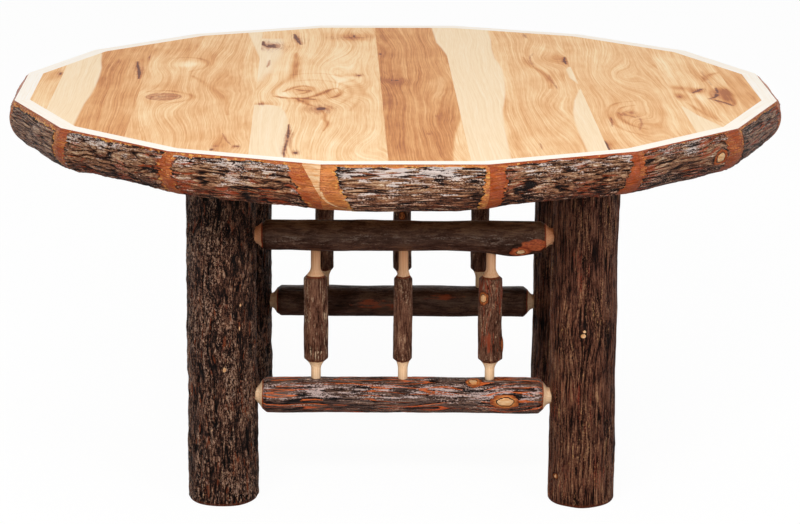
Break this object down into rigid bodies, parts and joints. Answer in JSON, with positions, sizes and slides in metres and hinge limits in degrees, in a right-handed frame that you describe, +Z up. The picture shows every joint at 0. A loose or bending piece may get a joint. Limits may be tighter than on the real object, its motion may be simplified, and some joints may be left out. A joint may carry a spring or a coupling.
{
  "type": "rustic hickory table",
  "caption": "Rustic dining table: many-sided plank top with a rim of split barked poles, on four barked pole legs joined by rails and spindles.",
  "frame": {"origin": "on the floor under the middle of the top", "axes": "+Z up, +X to the right and +Y to the back as seen from the front; the planks run along Y"},
  "size_m": [1.5534, 1.5556, 0.762],
  "materials": {
    "plank_wood": "satin varnish",
    "rim_bark": "varnished bark, planed sapwood on top",
    "batten_wood": "plain sawn, unvarnished",
    "leg_bark": "varnished bark",
    "rail_bark": "varnished bark, bare wood at the tenons",
    "spindle_bark": "varnished bark, bare wood at the tenons",
    "steel": "zinc plated"
  },
  "bodies": {
    "root": {"top_plank_1": "plank_wood", "top_plank_2": "plank_wood", "top_plank_3": "plank_wood", "top_plank_4": "plank_wood", "top_plank_5": "plank_wood", "top_plank_6": "plank_wood", "top_plank_7": "plank_wood", "top_plank_8": "plank_wood", "top_plank_9": "plank_wood", "rim_pole_01": "rim_bark", "rim_pole_02": "rim_bark", "rim_pole_03": "rim_bark", "rim_pole_04": "rim_bark", "rim_pole_05": "rim_bark", "rim_pole_06": "rim_bark", "rim_pole_07": "rim_bark", "rim_pole_08": "rim_bark", "rim_pole_09": "rim_bark", "rim_pole_10": "rim_bark", "rim_pole_11": "rim_bark", "rim_pole_12": "rim_bark", "rim_pole_13": "rim_bark", "rim_pole_14": "rim_bark", "rim_pole_15": "rim_bark", "rim_pole_16": "rim_bark", "front_batten": "batten_wood", "middle_batten": "batten_wood", "back_batten": "batten_wood", "leg_front_left": "leg_bark", "leg_front_right": "leg_bark", "leg_back_right": "leg_bark", "leg_back_left": "leg_bark", "front_lower_rail": "rail_bark", "front_upper_rail": "rail_bark", "front_spindle_left": "spindle_bark", "front_spindle_middle": "spindle_bark", "front_spindle_right": "spindle_bark", "right_lower_rail": "rail_bark", "right_upper_rail": "rail_bark", "right_spindle_front": "spindle_bark", "right_spindle_middle": "spindle_bark", "right_spindle_back": "spindle_bark", "back_lower_rail": "rail_bark", "back_upper_rail": "rail_bark", "back_spindle_right": "spindle_bark", "back_spindle_middle": "spindle_bark", "back_spindle_left": "spindle_bark", "left_lower_rail": "rail_bark", "left_upper_rail": "rail_bark", "left_spindle_back": "spindle_bark", "left_spindle_middle": "spindle_bark", "left_spindle_front": "spindle_bark", "batten_screws": "steel", "leg_lag_screws": "steel", "rim_nails": "steel"}
  },
  "joints": []
}
